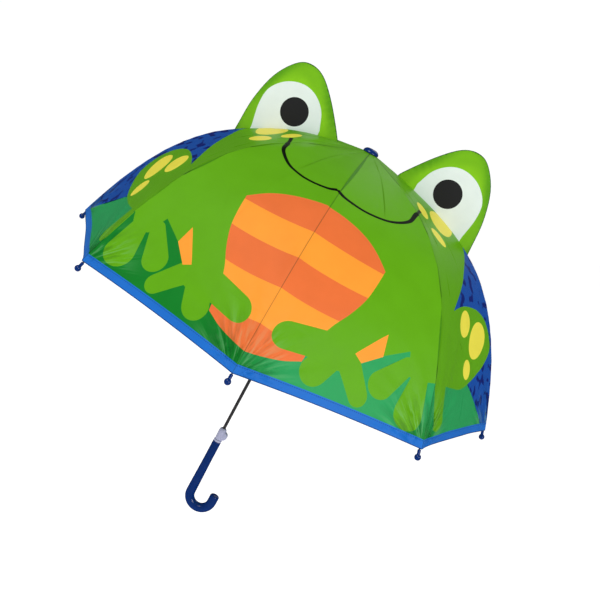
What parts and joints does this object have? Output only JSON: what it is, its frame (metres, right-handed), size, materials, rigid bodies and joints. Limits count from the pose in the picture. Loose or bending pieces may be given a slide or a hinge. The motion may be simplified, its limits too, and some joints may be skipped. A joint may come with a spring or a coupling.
{
  "type": "children's umbrella",
  "caption": "Domed children's umbrella with a frog-face canopy, stand-up eyes, a thin steel shaft, folding ribs and stretchers, a sliding runner and a crook handle.",
  "frame": {"origin": "on the shaft axis, in the middle of the handle's straight hand grip", "axes": "+Z along the shaft towards the cap, -Y towards the side that the frog's face looks to, +X towards the crook's open end"},
  "size_m": [0.7088, 0.7088, 0.704],
  "materials": {
    "canopy_cloth": "satin polyester, printed",
    "eye_cloth": "satin polyester, printed",
    "eye_edge": "piping",
    "rib_steel": "plated",
    "navy_plastic": "gloss",
    "collar_plastic": "satin",
    "black_plastic": "satin",
    "shaft_steel": "dark lacquered steel",
    "strap_cloth": "satin polyester",
    "pin_steel": "plain"
  },
  "bodies": {
    "shaft_and_handle": {"shaft_tube": "shaft_steel", "handle_grip": "navy_plastic", "handle_collar": "collar_plastic", "handle_pin": "pin_steel", "stop_pin": "pin_steel", "crown_notch": "black_plastic", "crown_wire": "pin_steel", "crown_pin": "pin_steel", "crown_rosette": "strap_cloth", "top_cap": "navy_plastic"},
    "runner": {"runner_sleeve": "black_plastic", "runner_notch": "black_plastic"},
    "top_catch": {"top_catch": "pin_steel"},
    "inner_rib_0": {"rib_inner_0": "rib_steel", "canopy_sector_0": "canopy_cloth"},
    "outer_rib_0": {"rib_outer_0": "rib_steel", "rib_tip_0": "navy_plastic"},
    "stretcher_0": {"stretcher_0": "rib_steel"},
    "inner_rib_1": {"rib_inner_1": "rib_steel", "canopy_sector_1": "canopy_cloth"},
    "outer_rib_1": {"rib_outer_1": "rib_steel", "rib_tip_1": "navy_plastic"},
    "stretcher_1": {"stretcher_1": "rib_steel"},
    "inner_rib_2": {"rib_inner_2": "rib_steel", "canopy_sector_2": "canopy_cloth", "eye_cloth_right": "eye_cloth", "eye_wire_right": "eye_edge"},
    "outer_rib_2": {"rib_outer_2": "rib_steel", "rib_tip_2": "navy_plastic"},
    "stretcher_2": {"stretcher_2": "rib_steel"},
    "inner_rib_3": {"rib_inner_3": "rib_steel", "canopy_sector_3": "canopy_cloth"},
    "outer_rib_3": {"rib_outer_3": "rib_steel", "rib_tip_3": "navy_plastic"},
    "stretcher_3": {"stretcher_3": "rib_steel"},
    "inner_rib_4": {"rib_inner_4": "rib_steel", "canopy_sector_4": "canopy_cloth"},
    "outer_rib_4": {"rib_outer_4": "rib_steel", "rib_tip_4": "navy_plastic", "closing_strap": "strap_cloth", "strap_snap": "pin_steel"},
    "stretcher_4": {"stretcher_4": "rib_steel"},
    "inner_rib_5": {"rib_inner_5": "rib_steel", "canopy_sector_5": "canopy_cloth"},
    "outer_rib_5": {"rib_outer_5": "rib_steel", "rib_tip_5": "navy_plastic"},
    "stretcher_5": {"stretcher_5": "rib_steel"},
    "inner_rib_6": {"rib_inner_6": "rib_steel", "canopy_sector_6": "canopy_cloth", "eye_cloth_left": "eye_cloth", "eye_wire_left": "eye_edge"},
    "outer_rib_6": {"rib_outer_6": "rib_steel", "rib_tip_6": "navy_plastic"},
    "stretcher_6": {"stretcher_6": "rib_steel"},
    "inner_rib_7": {"rib_inner_7": "rib_steel", "canopy_sector_7": "canopy_cloth"},
    "outer_rib_7": {"rib_outer_7": "rib_steel", "rib_tip_7": "navy_plastic"},
    "stretcher_7": {"stretcher_7": "rib_steel"}
  },
  "joints": [
    {"name": "runner_slide", "type": "slide", "parent": "shaft_and_handle", "child": "runner", "axis": [0, 0, -1], "range_m": [0, 0.2926]},
    {"name": "catch_press", "type": "slide", "parent": "shaft_and_handle", "child": "top_catch", "axis": [-1, 0, 0], "range_m": [0, 0.0015], "stiffness_N_per_m": 400},
    {"name": "rib_fold_0", "type": "hinge", "parent": "shaft_and_handle", "child": "inner_rib_0", "pos_m": [0, -0.01, 0.55099], "axis": [1, 0, 0], "range_deg": [0, 67.7], "deforming": ["canopy_sector_0"]},
    {"name": "rib_flex_0", "type": "hinge", "parent": "inner_rib_0", "child": "outer_rib_0", "pos_m": [0, -0.22033, 0.47319], "axis": [-1, 0, 0], "range_deg": [0, 38.41]},
    {"name": "stretcher_fold_0", "type": "hinge", "parent": "inner_rib_0", "child": "stretcher_0", "pos_m": [0, -0.22033, 0.47319], "axis": [-1, 0, 0], "range_deg": [0, 135.4]},
    {"name": "rib_fold_1", "type": "hinge", "parent": "shaft_and_handle", "child": "inner_rib_1", "pos_m": [0.00707, -0.00707, 0.55099], "axis": [0.7071, 0.7071, 0], "range_deg": [0, 67.7], "deforming": ["canopy_sector_1"]},
    {"name": "rib_flex_1", "type": "hinge", "parent": "inner_rib_1", "child": "outer_rib_1", "pos_m": [0.1558, -0.1558, 0.47319], "axis": [-0.7071, -0.7071, 0], "range_deg": [0, 38.41]},
    {"name": "stretcher_fold_1", "type": "hinge", "parent": "inner_rib_1", "child": "stretcher_1", "pos_m": [0.1558, -0.1558, 0.47319], "axis": [-0.7071, -0.7071, 0], "range_deg": [0, 135.4]},
    {"name": "rib_fold_2", "type": "hinge", "parent": "shaft_and_handle", "child": "inner_rib_2", "pos_m": [0.01, 0, 0.55099], "axis": [0, 1, 0], "range_deg": [0, 67.7], "deforming": ["canopy_sector_2"]},
    {"name": "rib_flex_2", "type": "hinge", "parent": "inner_rib_2", "child": "outer_rib_2", "pos_m": [0.22033, 0, 0.47319], "axis": [0, -1, 0], "range_deg": [0, 38.41]},
    {"name": "stretcher_fold_2", "type": "hinge", "parent": "inner_rib_2", "child": "stretcher_2", "pos_m": [0.22033, 0, 0.47319], "axis": [0, -1, 0], "range_deg": [0, 135.4]},
    {"name": "rib_fold_3", "type": "hinge", "parent": "shaft_and_handle", "child": "inner_rib_3", "pos_m": [0.00707, 0.00707, 0.55099], "axis": [-0.7071, 0.7071, 0], "range_deg": [0, 67.7], "deforming": ["canopy_sector_3"]},
    {"name": "rib_flex_3", "type": "hinge", "parent": "inner_rib_3", "child": "outer_rib_3", "pos_m": [0.1558, 0.1558, 0.47319], "axis": [0.7071, -0.7071, 0], "range_deg": [0, 38.41]},
    {"name": "stretcher_fold_3", "type": "hinge", "parent": "inner_rib_3", "child": "stretcher_3", "pos_m": [0.1558, 0.1558, 0.47319], "axis": [0.7071, -0.7071, 0], "range_deg": [0, 135.4]},
    {"name": "rib_fold_4", "type": "hinge", "parent": "shaft_and_handle", "child": "inner_rib_4", "pos_m": [0, 0.01, 0.55099], "axis": [-1, 0, 0], "range_deg": [0, 67.7], "deforming": ["canopy_sector_4"]},
    {"name": "rib_flex_4", "type": "hinge", "parent": "inner_rib_4", "child": "outer_rib_4", "pos_m": [0, 0.22033, 0.47319], "axis": [1, 0, 0], "range_deg": [0, 38.41]},
    {"name": "stretcher_fold_4", "type": "hinge", "parent": "inner_rib_4", "child": "stretcher_4", "pos_m": [0, 0.22033, 0.47319], "axis": [1, 0, 0], "range_deg": [0, 135.4]},
    {"name": "rib_fold_5", "type": "hinge", "parent": "shaft_and_handle", "child": "inner_rib_5", "pos_m": [-0.00707, 0.00707, 0.55099], "axis": [-0.7071, -0.7071, 0], "range_deg": [0, 67.7], "deforming": ["canopy_sector_5"]},
    {"name": "rib_flex_5", "type": "hinge", "parent": "inner_rib_5", "child": "outer_rib_5", "pos_m": [-0.1558, 0.1558, 0.47319], "axis": [0.7071, 0.7071, 0], "range_deg": [0, 38.41]},
    {"name": "stretcher_fold_5", "type": "hinge", "parent": "inner_rib_5", "child": "stretcher_5", "pos_m": [-0.1558, 0.1558, 0.47319], "axis": [0.7071, 0.7071, 0], "range_deg": [0, 135.4]},
    {"name": "rib_fold_6", "type": "hinge", "parent": "shaft_and_handle", "child": "inner_rib_6", "pos_m": [-0.01, 0, 0.55099], "axis": [0, -1, 0], "range_deg": [0, 67.7], "deforming": ["canopy_sector_6"]},
    {"name": "rib_flex_6", "type": "hinge", "parent": "inner_rib_6", "child": "outer_rib_6", "pos_m": [-0.22033, 0, 0.47319], "axis": [0, 1, 0], "range_deg": [0, 38.41]},
    {"name": "stretcher_fold_6", "type": "hinge", "parent": "inner_rib_6", "child": "stretcher_6", "pos_m": [-0.22033, 0, 0.47319], "axis": [0, 1, 0], "range_deg": [0, 135.4]},
    {"name": "rib_fold_7", "type": "hinge", "parent": "shaft_and_handle", "child": "inner_rib_7", "pos_m": [-0.00707, -0.00707, 0.55099], "axis": [0.7071, -0.7071, 0], "range_deg": [0, 67.7], "deforming": ["canopy_sector_7"]},
    {"name": "rib_flex_7", "type": "hinge", "parent": "inner_rib_7", "child": "outer_rib_7", "pos_m": [-0.1558, -0.1558, 0.47319], "axis": [-0.7071, 0.7071, 0], "range_deg": [0, 38.41]},
    {"name": "stretcher_fold_7", "type": "hinge", "parent": "inner_rib_7", "child": "stretcher_7", "pos_m": [-0.1558, -0.1558, 0.47319], "axis": [-0.7071, 0.7071, 0], "range_deg": [0, 135.4]}
  ],
  "couplings": [
    {"joint": "rib_fold_0", "follows": "runner_slide", "rad_per_m": 4.0382},
    {"joint": "rib_flex_0", "follows": "runner_slide", "rad_per_m": 2.2909},
    {"joint": "stretcher_fold_0", "follows": "runner_slide", "rad_per_m": 8.0765},
    {"joint": "rib_fold_1", "follows": "runner_slide", "rad_per_m": 4.0382},
    {"joint": "rib_flex_1", "follows": "runner_slide", "rad_per_m": 2.2909},
    {"joint": "stretcher_fold_1", "follows": "runner_slide", "rad_per_m": 8.0765},
    {"joint": "rib_fold_2", "follows": "runner_slide", "rad_per_m": 4.0382},
    {"joint": "rib_flex_2", "follows": "runner_slide", "rad_per_m": 2.2909},
    {"joint": "stretcher_fold_2", "follows": "runner_slide", "rad_per_m": 8.0765},
    {"joint": "rib_fold_3", "follows": "runner_slide", "rad_per_m": 4.0382},
    {"joint": "rib_flex_3", "follows": "runner_slide", "rad_per_m": 2.2909},
    {"joint": "stretcher_fold_3", "follows": "runner_slide", "rad_per_m": 8.0765},
    {"joint": "rib_fold_4", "follows": "runner_slide", "rad_per_m": 4.0382},
    {"joint": "rib_flex_4", "follows": "runner_slide", "rad_per_m": 2.2909},
    {"joint": "stretcher_fold_4", "follows": "runner_slide", "rad_per_m": 8.0765},
    {"joint": "rib_fold_5", "follows": "runner_slide", "rad_per_m": 4.0382},
    {"joint": "rib_flex_5", "follows": "runner_slide", "rad_per_m": 2.2909},
    {"joint": "stretcher_fold_5", "follows": "runner_slide", "rad_per_m": 8.0765},
    {"joint": "rib_fold_6", "follows": "runner_slide", "rad_per_m": 4.0382},
    {"joint": "rib_flex_6", "follows": "runner_slide", "rad_per_m": 2.2909},
    {"joint": "stretcher_fold_6", "follows": "runner_slide", "rad_per_m": 8.0765},
    {"joint": "rib_fold_7", "follows": "runner_slide", "rad_per_m": 4.0382},
    {"joint": "rib_flex_7", "follows": "runner_slide", "rad_per_m": 2.2909},
    {"joint": "stretcher_fold_7", "follows": "runner_slide", "rad_per_m": 8.0765}
  ]
}
